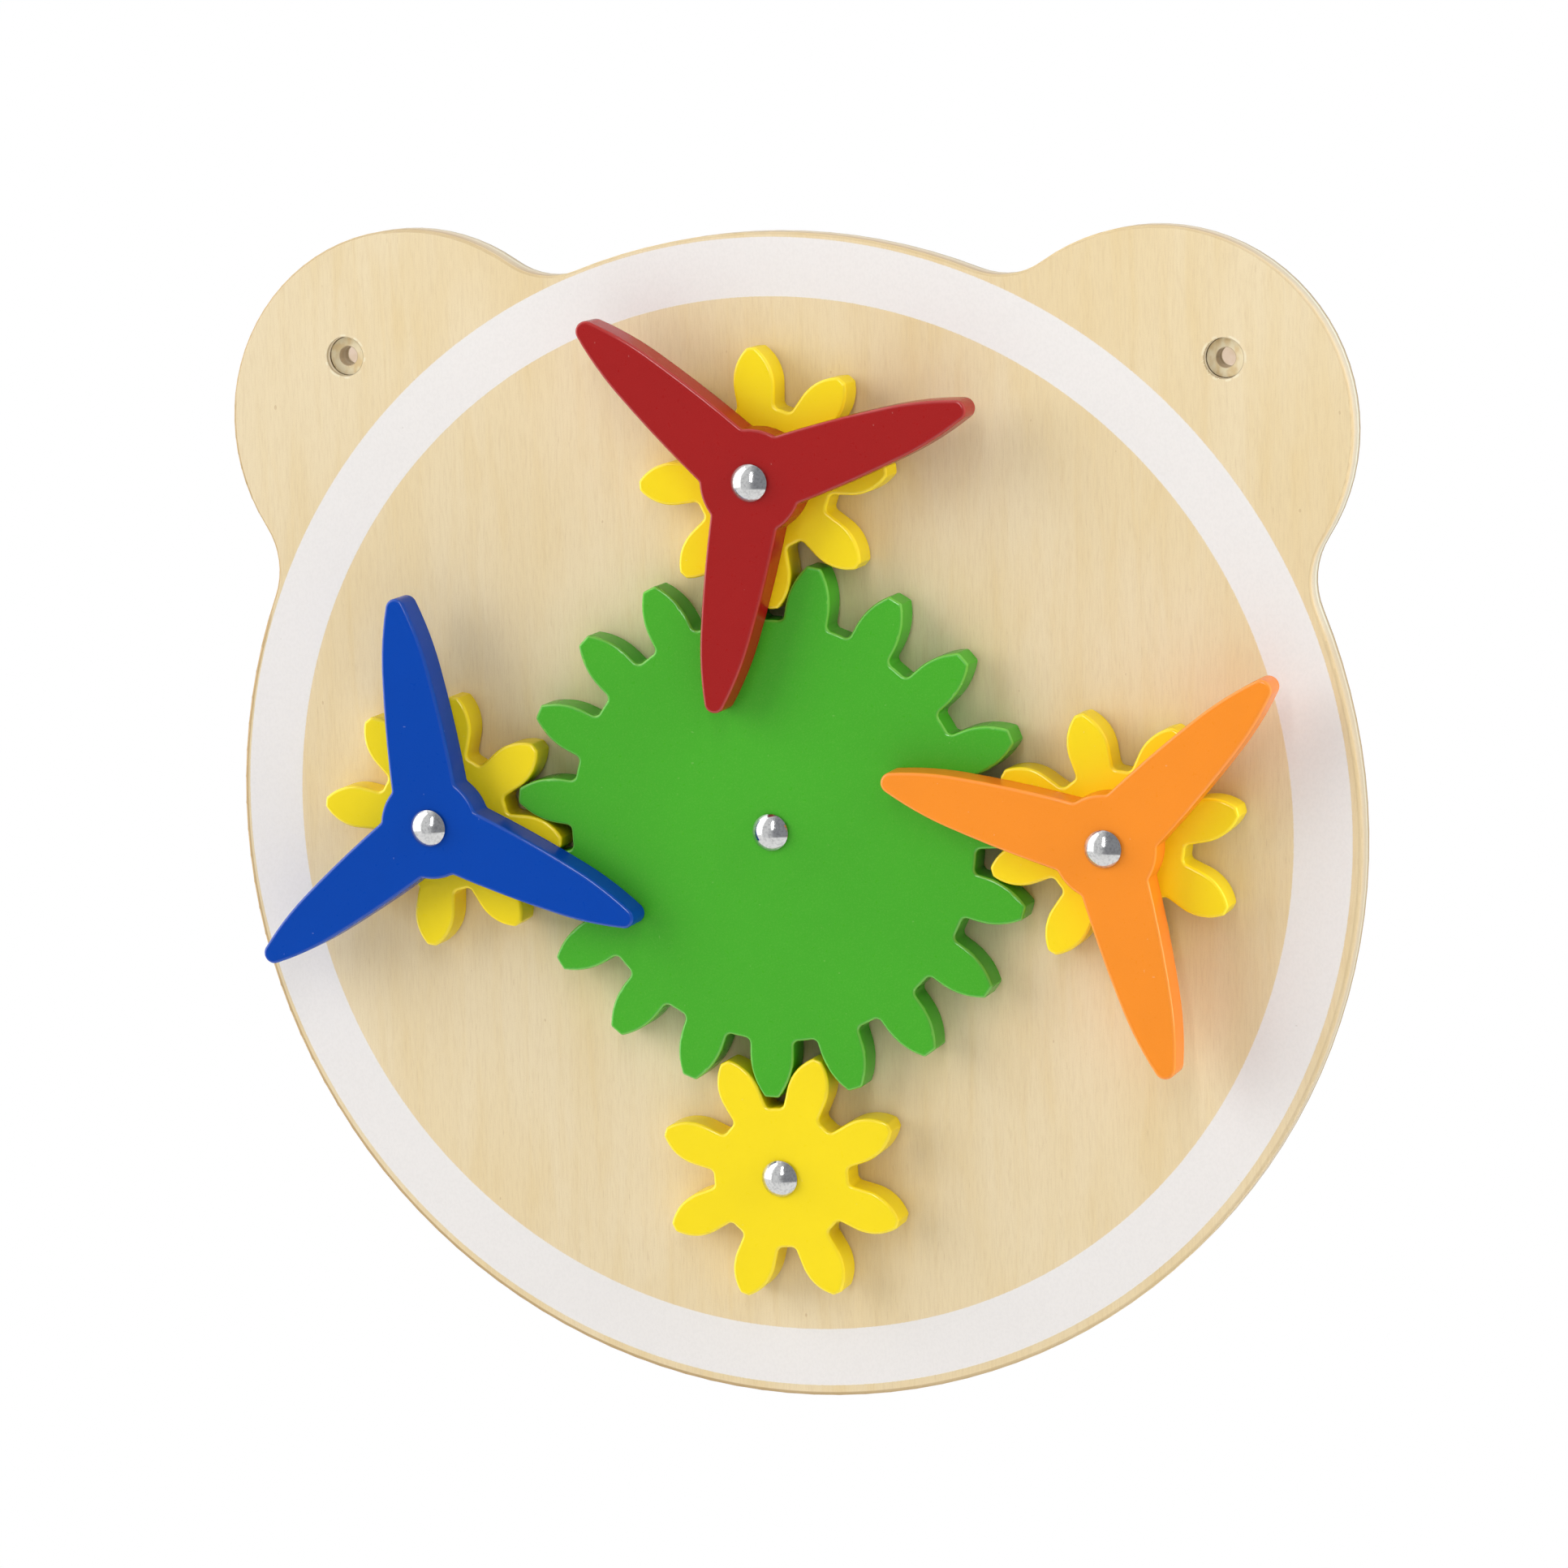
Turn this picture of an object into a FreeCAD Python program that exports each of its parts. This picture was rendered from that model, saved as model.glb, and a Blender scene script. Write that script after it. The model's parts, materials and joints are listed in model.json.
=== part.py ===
import FreeCAD, Part
import Sketcher
import math
import os

# Wall-hung gear board with a large toothed wheel, four pinions and three propellers.
# Millimetres. X runs to the right, Z up, and the front of the board faces -Y.
# The origin lies on the wall face, midway between the two hanging screws.
# Every piece is drawn lying flat: x right, y up, z out of the board's front face.

doc = FreeCAD.newDocument("GearBoard")
sheet = doc.addObject("Spreadsheet::Sheet", "Sizes")

SIZES = [
    # board
    ("CircleRadius", 167.2),
    ("CircleRise", 0.8),
    ("PanelThick", 9.5),
    ("PanelRound", 0.8),
    ("EarReach", 110.2),
    ("EarRise", 113.6),
    ("EarRadius", 55.7),
    ("SaddleRadius", 22.0),
    # hanging screws, measured from the middle axle
    ("ScrewSpan", 260.0),
    ("ScrewRise", 133.0),
    ("ScrewHoleRadius", 2.8),
    ("ScrewSeatRadius", 5.6),
    ("ScrewSeatDeep", 2.6),
    # gear train: axle distance, shift to the left, plays and the tooth form in modules
    ("AxleReach", 100.0),
    ("TrainShift", 0.45),
    ("ToothPlay", 0.4),
    ("PinionExtra", 0.14),
    ("WheelTurn", 3.2),
    ("WheelTipRise", 0.855),
    ("WheelFlank", 2.73),
    ("WheelBelly", 0.86),
    ("WheelTaper", 0.0),
    ("PinionTipRise", 0.955),
    ("PinionFlank", 1.755),
    ("PinionBelly", 0.41),
    ("PinionTaper", 5.0),
    ("RootGap", 0.4),
    ("TipRound", 1.0),
    ("RootRound", 1.7),
    ("GearThick", 10.2),
    ("EdgeRound", 0.9),
    # propellers
    ("BladeThick", 10.2),
    ("BladeReach", 66.3),
    ("BladeTipRadius", 3.0),
    ("HubRadius", 15.0),
    ("NotchRadius", 1.5),
    ("RootHalfWidth", 9.9),
    ("MidHalfWidth", 8.95),
    ("MidAt", 28.0),
    ("ShoulderHalfWidth", 7.25),
    ("ShoulderAt", 45.0),
    # axles
    ("JournalRadius", 3.5),
    ("JournalPlay", 0.05),
    ("StudRadius", 2.5),
    ("StudPlay", 0.1),
    ("StudTip", 0.4),
    ("HeadRadius", 5.25),
    ("HeadRim", 0.5),
    ("HeadDome", 2.6),
    ("HeadPlay", 0.25),
    ("BushWall", 0.95),
    # front washers
    ("SlipRadius", 8.0),
    ("SlipThick", 0.7),
    ("SlipPlay", 0.1),
    # rear fixings
    ("RearSeatRadius", 7.5),
    ("RearSeatDeep", 5.8),
    ("RearWasherRadius", 6.5),
    ("RearWasherThick", 0.8),
    ("NutAcrossFlats", 8.0),
    ("NutThick", 3.4),
    ("NutFaceRadius", 3.8),
    ("CollarRadius", 3.6),
    ("CollarThick", 1.0),
    # dowels between a pinion and its propeller
    ("DowelRadius", 2.0),
    ("DowelHalfLength", 5.5),
    ("DowelAt", 9.5),
    ("DowelEndGap", 0.3),
]

for row, (alias, value) in enumerate(SIZES, start=1):
    sheet.set("A%d" % row, alias)
    sheet.set("B%d" % row, repr(value))
    sheet.setAlias("B%d" % row, alias)
doc.recompute()


def size(alias):
    return float(sheet.get(alias))


WHEEL_TEETH = 19
PINION_TEETH = 8
BLADES = 3
module = 2 * size("AxleReach") / (WHEEL_TEETH + PINION_TEETH)


def vec(x, y, z=0.0):
    return FreeCAD.Vector(x, y, z)


def turned(point, angle):
    c = math.cos(angle)
    s = math.sin(angle)
    return vec(point.x * c - point.y * s, point.x * s + point.y * c)


# Point at distance r1 from c1 and r2 from c2, left (+1) or right (-1) of c1 to c2.
def meet(c1, r1, c2, r2, side):
    gap = c2 - c1
    along = (r1 ** 2 - r2 ** 2 + gap.Length ** 2) / (2 * gap.Length)
    off = math.sqrt(r1 ** 2 - along ** 2)
    unit = gap / gap.Length
    return c1 + unit * along + vec(-unit.y, unit.x) * (side * off)


# Point at the radius from the centre, on the ray through another point.
def toward(centre, point, radius):
    ray = point - centre
    return centre + ray * (radius / ray.Length)


# Arc of under half a circle from p to q.
def arc(centre, p, q):
    middle = toward(centre, (p + q) * 0.5, (p - centre).Length)
    return Part.Arc(p, middle, q)


# The half outline turns into a whole tooth or blade, and that into a full ring of them.
def ringOf(count, halfPieces, tipArc, rootArc):
    pieces = []
    for k in range(count):
        angle = 2 * math.pi * k / count
        pieces.append(placed(tipArc, angle, 1))
        pieces.append(placed(rootArc, angle, 1))
        for piece in halfPieces:
            pieces.append(placed(piece, angle, 1))
            pieces.append(placed(piece, angle, -1))
    return pieces


# A piece is two end points, or two end points and the point between them of an arc.
def placed(points, angle, mirror):
    spots = [turned(vec(p.x, mirror * p.y), angle) for p in points]
    if len(spots) == 2:
        return Part.LineSegment(spots[0], spots[1])
    return Part.Arc(spots[0], spots[1], spots[2])


def arcPoints(centre, p, q):
    return (p, toward(centre, (p + q) * 0.5, (p - centre).Length), q)


# Tooth outline: tip arc, rounded corner, bulging flank, straight neck, root fillet, root arc.
def gearOutline(teeth, tipRise, rootDrop, flank, belly, taper, halfAtPitch):
    middle = vec(0, 0)
    pitchRadius = module * teeth / 2
    tipRadius = pitchRadius + tipRise * module
    rootRadius = pitchRadius - rootDrop * module
    flankRadius = flank * module
    pitchPoint = turned(vec(pitchRadius, 0), halfAtPitch / pitchRadius)
    bellyAt = pitchRadius - belly * module
    sink = math.sqrt(flankRadius ** 2 - (pitchPoint.x - bellyAt) ** 2)
    flankCentre = vec(bellyAt, pitchPoint.y - sink)
    tipRound = size("TipRound")
    rootRound = size("RootRound")
    corner = meet(middle, tipRadius - tipRound, flankCentre, flankRadius - tipRound, 1)
    if corner.y < 0:
        corner = meet(middle, tipRadius - tipRound, flankCentre, flankRadius - tipRound, -1)
    tipEnd = toward(middle, corner, tipRadius)
    flankTop = toward(flankCentre, corner, flankRadius)
    lean = math.radians(taper)
    outward = vec(-math.sin(lean), math.cos(lean))
    neckTop = flankCentre + outward * flankRadius
    # the fillet's centre stands off the neck line and off the root circle by one radius
    stand = neckTop + outward * rootRound
    along = vec(-math.cos(lean), -math.sin(lean))
    reach = rootRadius + rootRound
    dot = stand.dot(along)
    travel = -dot - math.sqrt(dot ** 2 - stand.dot(stand) + reach ** 2)
    filletCentre = stand + along * travel
    neckEnd = filletCentre - outward * rootRound
    rootStart = toward(middle, filletCentre, rootRadius)
    gapMiddle = turned(vec(rootRadius, 0), math.pi / teeth)
    nextStart = turned(vec(rootStart.x, -rootStart.y), 2 * math.pi / teeth)
    halfPieces = [
        arcPoints(corner, tipEnd, flankTop),
        arcPoints(flankCentre, flankTop, neckTop),
        (neckTop, neckEnd),
        arcPoints(filletCentre, neckEnd, rootStart),
    ]
    tipArc = (vec(tipEnd.x, -tipEnd.y), vec(tipRadius, 0), tipEnd)
    rootArc = (rootStart, gapMiddle, nextStart)
    return ringOf(teeth, halfPieces, tipArc, rootArc)


# Blade outline: hub arc, small notch, long side arc, shoulder arc and round tip.
def bladeOutline():
    middle = vec(0, 0)
    hub = size("HubRadius")
    notch = size("NotchRadius")
    tipRadius = size("BladeTipRadius")
    rootHalf = size("RootHalfWidth")
    shoulder = vec(size("ShoulderAt"), size("ShoulderHalfWidth"))
    root = vec(math.sqrt(hub ** 2 - rootHalf ** 2), rootHalf)
    side = Part.Circle(root, vec(size("MidAt"), size("MidHalfWidth")), shoulder)
    sideCentre = side.Center
    inward = (sideCentre - shoulder).normalize()
    tipCentre = vec(size("BladeReach") - tipRadius, 0)
    back = shoulder - tipCentre
    shoulderRadius = (back.dot(back) - tipRadius ** 2) / (-2 * back.dot(inward) - 2 * tipRadius)
    shoulderCentre = shoulder + inward * shoulderRadius
    tipStart = toward(shoulderCentre, tipCentre, shoulderRadius)
    notchCentre = meet(middle, hub + notch, sideCentre, side.Radius + notch, 1)
    if notchCentre.y < 0:
        notchCentre = meet(middle, hub + notch, sideCentre, side.Radius + notch, -1)
    hubEnd = toward(middle, notchCentre, hub)
    sideStart = toward(sideCentre, notchCentre, side.Radius)
    hubMiddle = turned(vec(hub, 0), math.pi / BLADES)
    nextHub = turned(vec(hubEnd.x, -hubEnd.y), 2 * math.pi / BLADES)
    halfPieces = [
        arcPoints(shoulderCentre, tipStart, shoulder),
        arcPoints(sideCentre, shoulder, sideStart),
        arcPoints(notchCentre, sideStart, hubEnd),
    ]
    tipArc = (vec(tipStart.x, -tipStart.y), vec(size("BladeReach"), 0), tipStart)
    rootArc = (hubEnd, hubMiddle, nextHub)
    return ringOf(BLADES, halfPieces, tipArc, rootArc)


# Board outline: one large circle and two ears, joined by concave saddles.
def panelOutline():
    middle = vec(0, size("CircleRise"))
    big = size("CircleRadius")
    ear = size("EarRadius")
    saddle = size("SaddleRadius")
    pieces = []
    for mirror in (1, -1):
        earCentre = vec(mirror * size("EarReach"), size("EarRise"))
        lower = meet(middle, big + saddle, earCentre, ear + saddle, -mirror)
        upper = meet(middle, big + saddle, earCentre, ear + saddle, mirror)
        spots = []
        for centre in (lower, upper):
            onBig = toward(middle, centre, big)
            onEar = toward(earCentre, centre, ear)
            pieces.append(arc(centre, onBig, onEar))
            spots.append((onBig, onEar))
        earTop = toward(middle, earCentre, (earCentre - middle).Length + ear)
        pieces.append(Part.Arc(spots[0][1], earTop, spots[1][1]))
    lowBig = spots[0][0]
    highBig = spots[1][0]
    pieces.append(Part.Arc(vec(-lowBig.x, lowBig.y), middle - vec(0, big), lowBig))
    pieces.append(Part.Arc(vec(-highBig.x, highBig.y), middle + vec(0, big), highBig))
    return pieces


def plane(body, role):
    return [f for f in body.Origin.OriginFeatures if f.Role == role][0]


def newBody(name):
    body = doc.addObject("PartDesign::Body", name)
    body.Label = name
    return body


def flatSketch(body, name, pieces):
    sketch = body.newObject("Sketcher::SketchObject", name)
    sketch.AttachmentSupport = [(plane(body, "XY_Plane"), "")]
    sketch.MapMode = "FlatFace"
    sketch.addGeometry(pieces, False)
    return sketch


# A circle whose centre and radius follow the sheet. A rule of "0" puts the centre on that axis.
def ruledCircle(sketch, xRule, yRule, radiusRule):
    index = sketch.addGeometry(Part.Circle(vec(0, 0), vec(0, 0, 1), 1.0), False)
    for kind, rule, axis in (("DistanceX", xRule, -2), ("DistanceY", yRule, -1)):
        if rule == "0":
            sketch.addConstraint(Sketcher.Constraint("PointOnObject", index, 3, axis))
        else:
            made = sketch.addConstraint(Sketcher.Constraint(kind, -1, 1, index, 3, 1.0))
            sketch.setExpression("Constraints[%d]" % made, rule)
    made = sketch.addConstraint(Sketcher.Constraint("Radius", index, 1.0))
    sketch.setExpression("Constraints[%d]" % made, radiusRule)


def pad(body, sketch, lengthRule, backwards=False):
    feature = body.newObject("PartDesign::Pad", sketch.Name + "Pad")
    feature.Profile = sketch
    feature.setExpression("Length", lengthRule)
    feature.Reversed = backwards
    sketch.Visibility = False
    doc.recompute()
    return feature


# A pocket has to take something away, or the direction is wrong.
def pocket(body, sketch, lengthRule, backwards=False):
    before = body.Shape.Volume
    feature = body.newObject("PartDesign::Pocket", sketch.Name + "Pocket")
    feature.Profile = sketch
    feature.Reversed = backwards
    if lengthRule is None:
        feature.Type = 1
    else:
        feature.setExpression("Length", lengthRule)
    doc.recompute()
    if body.Shape.Volume > before - 0.5:
        raise RuntimeError(sketch.Name + " cuts nothing")
    return feature


# Rounds every edge that lies flat at one of the given heights.
def roundRims(body, heights, radiusRule):
    base = body.Tip
    names = []
    for number, edge in enumerate(base.Shape.Edges, start=1):
        box = edge.BoundBox
        if any(abs(box.ZMin - z) < 1e-4 and abs(box.ZMax - z) < 1e-4 for z in heights):
            names.append("Edge%d" % number)
    feature = body.newObject("PartDesign::Fillet", body.Name + "Rims")
    feature.Base = (base, names)
    feature.setExpression("Radius", radiusRule)
    doc.recompute()
    return feature


# Stands a flat-drawn piece up on the board and gives it its place and turn.
def stand(piece, xRule, zRule, outRule="0", turn=0.0):
    upright = FreeCAD.Rotation(vec(1, 0, 0), 90)
    spin = FreeCAD.Rotation(vec(0, 0, 1), turn)
    piece.Placement = FreeCAD.Placement(vec(0, 0, 0), upright.multiply(spin))
    piece.setExpression("Placement.Base.x", "1 mm * (%s)" % xRule)
    piece.setExpression("Placement.Base.y", "-1 mm * (Sizes.PanelThick + %s)" % outRule)
    piece.setExpression("Placement.Base.z", "1 mm * (%s - Sizes.ScrewRise)" % zRule)


AXLES = {
    "centre": ("-Sizes.TrainShift", "0"),
    "top": ("-Sizes.TrainShift", "Sizes.AxleReach"),
    "left": ("-Sizes.TrainShift - Sizes.AxleReach", "0"),
    "right": ("-Sizes.TrainShift + Sizes.AxleReach", "0"),
    "bottom": ("-Sizes.TrainShift", "-Sizes.AxleReach"),
}
WITH_PROPELLER = ("top", "left", "right")

LIFT = "(Sizes.SlipThick + Sizes.SlipPlay)"
BORE = "(Sizes.JournalRadius + Sizes.JournalPlay + Sizes.BushWall)"


# Board with axle holes, nut seats behind and screw seats in front.
def makePanel():
    body = newBody("panel")
    pad(body, flatSketch(body, "PanelOutline", panelOutline()), "Sizes.PanelThick", backwards=True)
    roundRims(body, (0.0, -size("PanelThick")), "Sizes.PanelRound")
    for name, (xRule, yRule) in AXLES.items():
        studHole = flatSketch(body, "StudHole" + name, [])
        ruledCircle(studHole, xRule, yRule, "Sizes.StudRadius + Sizes.StudPlay")
        pocket(body, studHole, None)
        seat = flatSketch(body, "RearSeat" + name, [])
        seat.setExpression("AttachmentOffset.Base.z", "-1 mm * Sizes.PanelThick")
        ruledCircle(seat, xRule, yRule, "Sizes.RearSeatRadius")
        pocket(body, seat, "Sizes.RearSeatDeep", backwards=True)
    for side in (-1, 1):
        xRule = "%d * Sizes.ScrewSpan / 2" % side
        hole = flatSketch(body, "ScrewHole%d" % (side + 1), [])
        ruledCircle(hole, xRule, "Sizes.ScrewRise", "Sizes.ScrewHoleRadius")
        pocket(body, hole, None)
        seat = flatSketch(body, "ScrewSeat%d" % (side + 1), [])
        ruledCircle(seat, xRule, "Sizes.ScrewRise", "Sizes.ScrewSeatRadius")
        pocket(body, seat, "Sizes.ScrewSeatDeep")
    stand(body, "0", "0")
    return body


# Two dowel holes, sunk from the front face of a pinion or from the back of a propeller.
def addDowelHoles(body, fromTop):
    sketch = flatSketch(body, body.Name + "DowelHoles", [])
    for side in (1, -1):
        ruledCircle(sketch, "%d * Sizes.DowelAt" % side, "0", "Sizes.DowelRadius")
    if fromTop:
        sketch.setExpression("AttachmentOffset.Base.z", "1 mm * Sizes.GearThick")
    pocket(body, sketch, "Sizes.DowelHalfLength + Sizes.DowelEndGap", backwards=not fromTop)


def makeGear(name, outline, dowelled):
    body = newBody(name)
    pad(body, flatSketch(body, name + "Outline", outline), "Sizes.GearThick")
    roundRims(body, (0.0, size("GearThick")), "Sizes.EdgeRound")
    hole = flatSketch(body, name + "Bore", [])
    ruledCircle(hole, "0", "0", BORE)
    pocket(body, hole, None, backwards=True)
    if dowelled:
        addDowelHoles(body, True)
    return body


def makePropeller(name):
    body = newBody(name)
    pad(body, flatSketch(body, name + "Outline", bladeOutline()), "Sizes.BladeThick")
    roundRims(body, (0.0, size("BladeThick")), "Sizes.EdgeRound")
    hole = flatSketch(body, name + "Bore", [])
    ruledCircle(hole, "0", "0", BORE)
    pocket(body, hole, None, backwards=True)
    addDowelHoles(body, False)
    return body


# Domed axle: bevelled stud through the board, journal in the bush, head in front.
def makeAxle(name, stackRule):
    studRule = "(Sizes.PanelThick - Sizes.StudPlay - Sizes.StudTip)"
    stud = doc.addObject("Part::Cylinder", name + "Stud")
    stud.setExpression("Radius", "Sizes.StudRadius")
    stud.setExpression("Height", studRule)
    stud.setExpression("Placement.Base.z", "-1 mm * " + studRule)
    tip = doc.addObject("Part::Cone", name + "Tip")
    tip.setExpression("Radius1", "Sizes.StudRadius - Sizes.StudTip")
    tip.setExpression("Radius2", "Sizes.StudRadius")
    tip.setExpression("Height", "Sizes.StudTip")
    tip.setExpression("Placement.Base.z", "-1 mm * (Sizes.PanelThick - Sizes.StudPlay)")
    journal = doc.addObject("Part::Cylinder", name + "Journal")
    journal.setExpression("Radius", "Sizes.JournalRadius")
    journal.setExpression("Height", "%s + %s + Sizes.HeadPlay" % (LIFT, stackRule))
    rim = doc.addObject("Part::Cylinder", name + "Rim")
    rim.setExpression("Radius", "Sizes.HeadRadius")
    rim.setExpression("Height", "Sizes.HeadRim")
    rimRule = "%s + %s + Sizes.HeadPlay" % (LIFT, stackRule)
    rim.setExpression("Placement.Base.z", "1 mm * (%s)" % rimRule)
    # the dome is the cap of the ball that passes through the rim and the crown
    ballRule = "(Sizes.HeadRadius ^ 2 + Sizes.HeadDome ^ 2) / (2 * Sizes.HeadDome)"
    ball = doc.addObject("Part::Sphere", name + "Ball")
    ball.setExpression("Radius", ballRule)
    ballAt = "%s + Sizes.HeadRim + Sizes.HeadDome - %s" % (rimRule, ballRule)
    ball.setExpression("Placement.Base.z", "1 mm * (%s)" % ballAt)
    cap = doc.addObject("Part::Cylinder", name + "CapSpace")
    cap.setExpression("Radius", "Sizes.HeadRadius")
    cap.setExpression("Height", "Sizes.HeadDome")
    cap.setExpression("Placement.Base.z", "1 mm * (%s + Sizes.HeadRim)" % rimRule)
    dome = doc.addObject("Part::Common", name + "Dome")
    dome.Base = ball
    dome.Tool = cap
    axle = doc.addObject("Part::MultiFuse", name)
    axle.Shapes = [tip, stud, journal, rim, dome]
    axle.Refine = True
    axle.Label = name
    return axle


def makeTube(name, outerRule, innerRule, heightRule, xRule="0", yRule="0", zRule="0"):
    outer = doc.addObject("Part::Cylinder", name + "Outer")
    inner = doc.addObject("Part::Cylinder", name + "Inner")
    outer.setExpression("Radius", outerRule)
    inner.setExpression("Radius", innerRule)
    tube = doc.addObject("Part::Cut", name)
    for solid in (outer, inner):
        solid.setExpression("Height", heightRule)
    tube.Base = outer
    tube.Tool = inner
    tube.setExpression("Placement.Base.x", "1 mm * (%s)" % xRule)
    tube.setExpression("Placement.Base.y", "1 mm * (%s)" % yRule)
    tube.setExpression("Placement.Base.z", "1 mm * (%s)" % zRule)
    tube.Label = name
    return tube


# Lock nut: a hexagon, bevelled at both faces, with a round collar behind it, bored for the stud.
def makeNut(name, xRule, yRule, zRule):
    hexagon = doc.addObject("Part::Prism", name + "Hexagon")
    hexagon.Polygon = 6
    hexagon.setExpression("Circumradius", "Sizes.NutAcrossFlats / sqrt(3)")
    hexagon.setExpression("Height", "Sizes.NutThick")
    hexagon.setExpression("Placement.Base.z", "1 mm * Sizes.CollarThick")
    # each cone leaves its face inside the flats and cuts the six corners
    faceRule = "Sizes.NutFaceRadius"
    wideRule = "Sizes.NutFaceRadius + Sizes.NutThick * sqrt(3)"
    bevels = []
    for number, (backRule, frontRule) in enumerate(((faceRule, wideRule), (wideRule, faceRule))):
        bevel = doc.addObject("Part::Cone", "%sBevel%d" % (name, number))
        bevel.setExpression("Radius1", backRule)
        bevel.setExpression("Radius2", frontRule)
        bevel.setExpression("Height", "Sizes.NutThick")
        bevel.setExpression("Placement.Base.z", "1 mm * Sizes.CollarThick")
        bevels.append(bevel)
    bevelled = doc.addObject("Part::MultiCommon", name + "Bevelled")
    bevelled.Shapes = [hexagon] + bevels
    collar = doc.addObject("Part::Cylinder", name + "Collar")
    collar.setExpression("Radius", "Sizes.CollarRadius")
    collar.setExpression("Height", "Sizes.CollarThick")
    whole = doc.addObject("Part::Fuse", name + "Whole")
    whole.Base = bevelled
    whole.Tool = collar
    thread = doc.addObject("Part::Cylinder", name + "Thread")
    thread.setExpression("Radius", "Sizes.StudRadius")
    thread.setExpression("Height", "Sizes.NutThick + Sizes.CollarThick")
    nut = doc.addObject("Part::Cut", name)
    nut.Base = whole
    nut.Tool = thread
    nut.setExpression("Placement.Base.x", "1 mm * (%s)" % xRule)
    nut.setExpression("Placement.Base.y", "1 mm * (%s)" % yRule)
    nut.setExpression("Placement.Base.z", "1 mm * (%s)" % zRule)
    return nut


def makeGroup(name, members):
    group = doc.addObject("Part::Compound", name)
    group.Links = members
    group.Label = name
    return group


nodes = [makePanel()]

# Fixings that stay with the board
slips = []
rearWashers = []
nuts = []
washerBack = "-(Sizes.PanelThick - Sizes.RearSeatDeep + Sizes.RearWasherThick)"
nutBack = washerBack + " - Sizes.NutThick - Sizes.CollarThick"
slipBore = "Sizes.JournalRadius + Sizes.SlipPlay"
washerBore = "Sizes.StudRadius + Sizes.StudPlay"
for key, (xRule, yRule) in AXLES.items():
    slips.append(makeTube("Slip" + key, "Sizes.SlipRadius", slipBore, "Sizes.SlipThick", xRule, yRule))
    rearWashers.append(makeTube("Rear" + key, "Sizes.RearWasherRadius", washerBore,
                                "Sizes.RearWasherThick", xRule, yRule, washerBack))
    nuts.append(makeNut("Nut" + key, xRule, yRule, nutBack))
for name, members in (("front_washers", slips), ("rear_washers", rearWashers), ("lock_nuts", nuts)):
    group = makeGroup(name, members)
    stand(group, "0", "0")
    nodes.append(group)

# Wheel and pinions are in mesh at rest: a wheel tooth faces the middle of a pinion gap.
halfPitch = (math.pi * module - size("ToothPlay")) / 4
wheelRoot = size("PinionTipRise") + size("RootGap")
pinionRoot = size("WheelTipRise") + size("RootGap")
wheelHalf = halfPitch - size("PinionExtra")
pinionHalf = halfPitch + size("PinionExtra")
wheelShape = (WHEEL_TEETH, size("WheelTipRise"), wheelRoot,
              size("WheelFlank"), size("WheelBelly"), size("WheelTaper"), wheelHalf)
pinionShape = (PINION_TEETH, size("PinionTipRise"), pinionRoot,
               size("PinionFlank"), size("PinionBelly"), size("PinionTaper"), pinionHalf)


def meshTurn(direction, toothNumber):
    wheelOffset = size("WheelTurn") - direction
    gap = direction + 180 - wheelOffset * WHEEL_TEETH / PINION_TEETH
    return gap + (toothNumber + 0.5) * 360 / PINION_TEETH


wheel = makeGear("drive_wheel", gearOutline(*wheelShape), False)
stand(wheel, *AXLES["centre"], LIFT, size("WheelTurn"))
nodes.append(wheel)

# Each pinion: direction from the wheel, and the tooth that lines up with a blade.
PINIONS = {"top": (90, 0), "left": (180, 3), "right": (0, 2), "bottom": (270, 0)}
PROPELLERS = {"top": "red_propeller", "left": "blue_propeller", "right": "orange_propeller"}

for key, (direction, toothNumber) in PINIONS.items():
    xRule, yRule = AXLES[key]
    turn = meshTurn(direction, toothNumber)
    withBlades = key in WITH_PROPELLER
    pinion = makeGear(key + "_pinion", gearOutline(*pinionShape), withBlades)
    stand(pinion, xRule, yRule, LIFT, turn)
    nodes.append(pinion)
    if not withBlades:
        continue
    propeller = makePropeller(PROPELLERS[key])
    stand(propeller, xRule, yRule, LIFT + " + Sizes.GearThick", turn)
    nodes.append(propeller)
    pegs = []
    for side in (1, -1):
        peg = doc.addObject("Part::Cylinder", "Peg%s%d" % (key, side + 1))
        peg.setExpression("Radius", "Sizes.DowelRadius")
        peg.setExpression("Height", "2 * Sizes.DowelHalfLength")
        peg.setExpression("Placement.Base.x", "%d mm * Sizes.DowelAt" % side)
        peg.setExpression("Placement.Base.z", "1 mm * (Sizes.GearThick - Sizes.DowelHalfLength)")
        pegs.append(peg)
    dowels = makeGroup(key + "_dowels", pegs)
    stand(dowels, xRule, yRule, LIFT, turn)
    nodes.append(dowels)

# Bushes and axles
for key, (xRule, yRule) in AXLES.items():
    stackRule = "Sizes.GearThick"
    if key in WITH_PROPELLER:
        stackRule = "(Sizes.GearThick + Sizes.BladeThick)"
    bush = makeTube(key + "_bush", BORE, "Sizes.JournalRadius + Sizes.JournalPlay", stackRule)
    stand(bush, xRule, yRule, LIFT)
    nodes.append(bush)
    axle = makeAxle(key + "_axle", stackRule)
    stand(axle, xRule, yRule)
    nodes.append(axle)

doc.recompute()

for item in doc.Objects:
    if "Invalid" in item.State or "Error" in item.State:
        raise RuntimeError("failed: " + item.Name)
for node in nodes:
    if node.Shape.isNull() or not node.Shape.isValid():
        raise RuntimeError("bad shape: " + node.Label)

os.makedirs("parts", exist_ok=True)
for node in nodes:
    node.Shape.exportStep("parts/" + node.Label + ".step")
    print(node.Label, len(node.Shape.Solids), round(node.Shape.Volume, 1))
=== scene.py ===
import json
import math
import bpy
from mathutils import Matrix, Vector


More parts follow.
